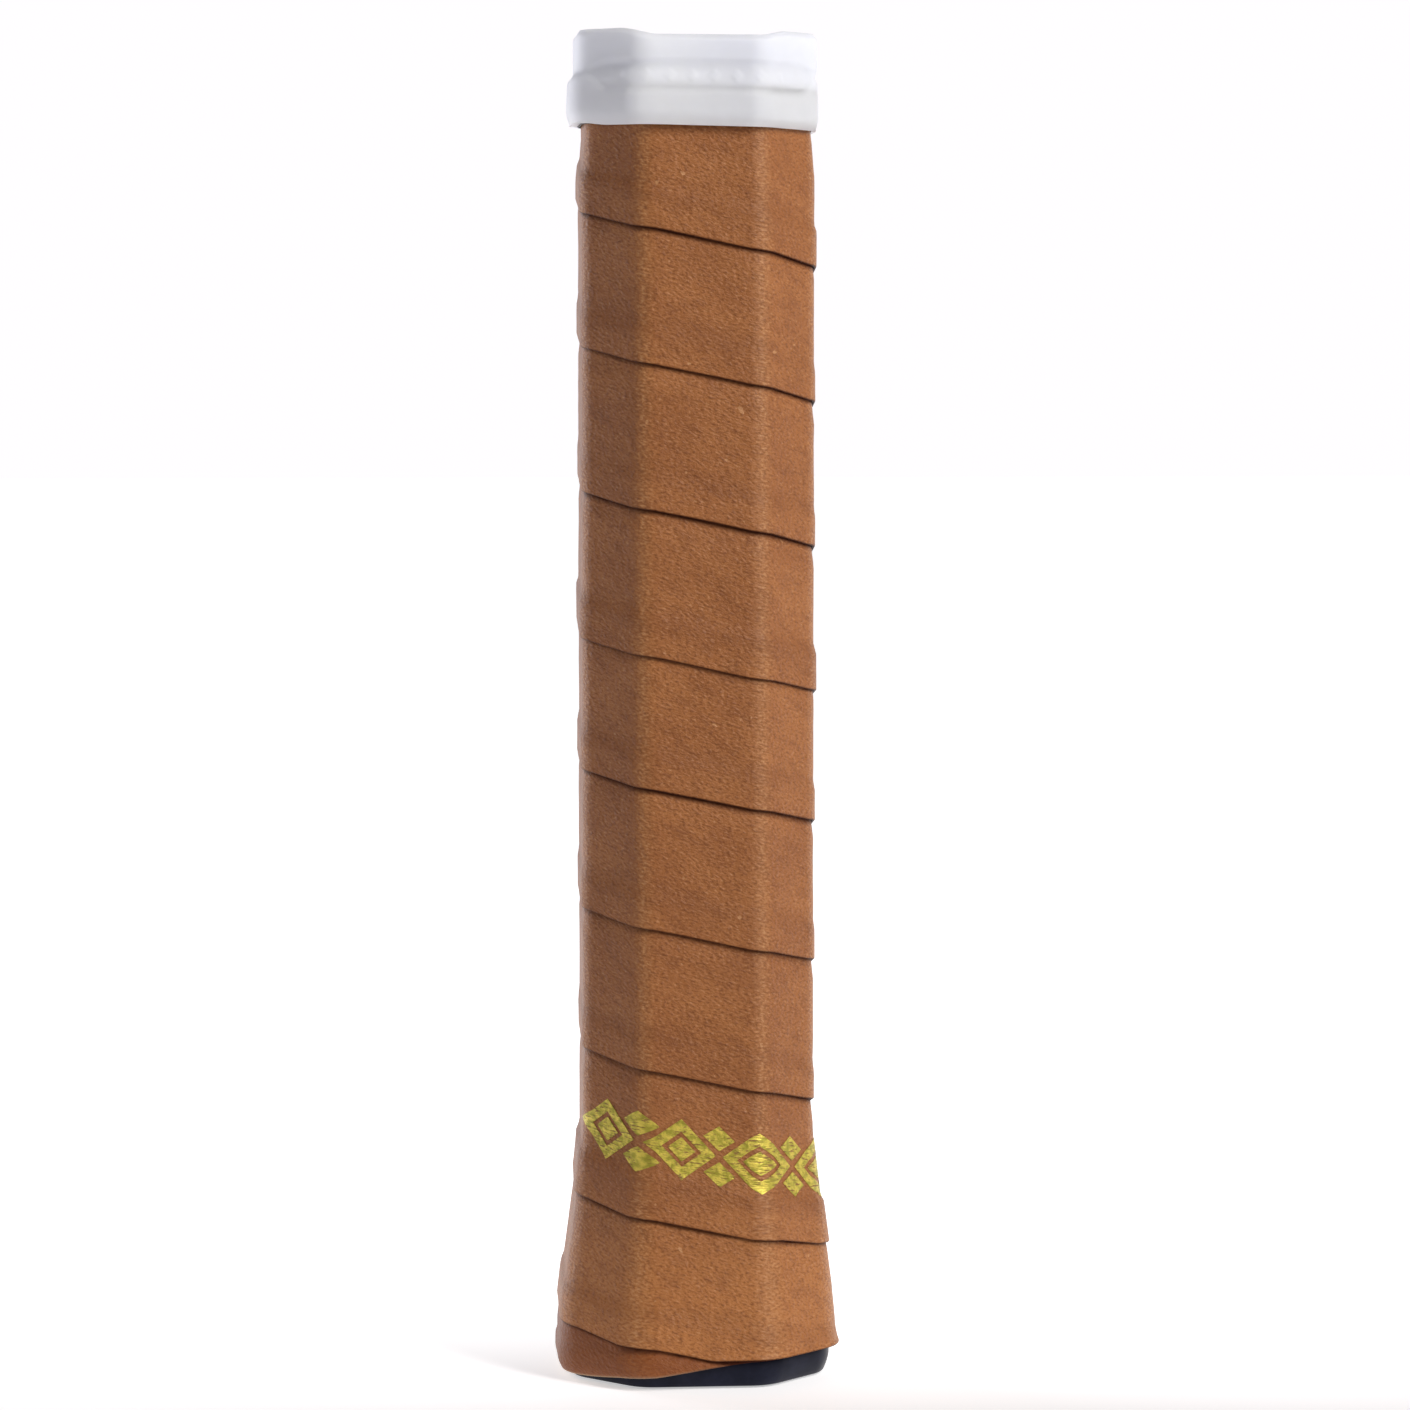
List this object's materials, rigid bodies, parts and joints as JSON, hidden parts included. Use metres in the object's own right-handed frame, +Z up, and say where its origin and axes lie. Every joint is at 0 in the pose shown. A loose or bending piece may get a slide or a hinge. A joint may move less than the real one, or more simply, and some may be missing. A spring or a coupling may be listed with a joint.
{
  "type": "tennis racket handle with wound grip",
  "caption": "Eight-sided racket handle wound in a helical leather strip, with a flared butt cap and trap door below and a slip-on rubber collar above.",
  "frame": {"origin": "centre of the foot, on the plane the butt cap stands on", "axes": "+Z up the handle towards the racket's frame, X across the handle in the string plane, -Y out of the stamped broad face"},
  "size_m": [0.0413, 0.0365, 0.197],
  "materials": {
    "grip_leather": "smooth-grained tan leather, satin",
    "collar_rubber": "matte white moulded rubber",
    "cap_plastic": "moulded, satin navy",
    "door_plastic": "moulded, satin navy",
    "badge_metal": "brushed disc, plain",
    "gold_foil": "hot-stamped foil, crazed",
    "carbon_fibre": "bare carbon laminate, satin",
    "core_foam": "fine closed-cell foam",
    "pallet_foam": "moulded hard foam with a skin",
    "adhesive_tape": "double-sided tape",
    "finishing_tape": "stretch vinyl tape",
    "staple_steel": "bright wire"
  },
  "bodies": {
    "handle": {"hairpin_leg_left": "carbon_fibre", "hairpin_leg_right": "carbon_fibre", "hairpin_core_left": "core_foam", "hairpin_core_right": "core_foam", "pallet_front": "pallet_foam", "pallet_back": "pallet_foam", "pallet_tape_front": "adhesive_tape", "pallet_tape_back": "adhesive_tape", "butt_cap": "cap_plastic", "butt_staples": "staple_steel", "start_tack": "staple_steel", "grip_adhesive": "adhesive_tape", "grip_strip": "grip_leather", "foil_stamp": "gold_foil", "finishing_tape": "finishing_tape"},
    "collar": {"collar": "collar_rubber"},
    "door": {"trap_door": "door_plastic", "door_badge": "badge_metal"}
  },
  "joints": [
    {"name": "collar_slide", "type": "slide", "parent": "handle", "child": "collar", "axis": [0, 0, 1], "range_m": [0, 0.03]},
    {"name": "door_pull", "type": "slide", "parent": "handle", "child": "door", "axis": [0, 0, -1], "range_m": [0, 0.012]}
  ]
}
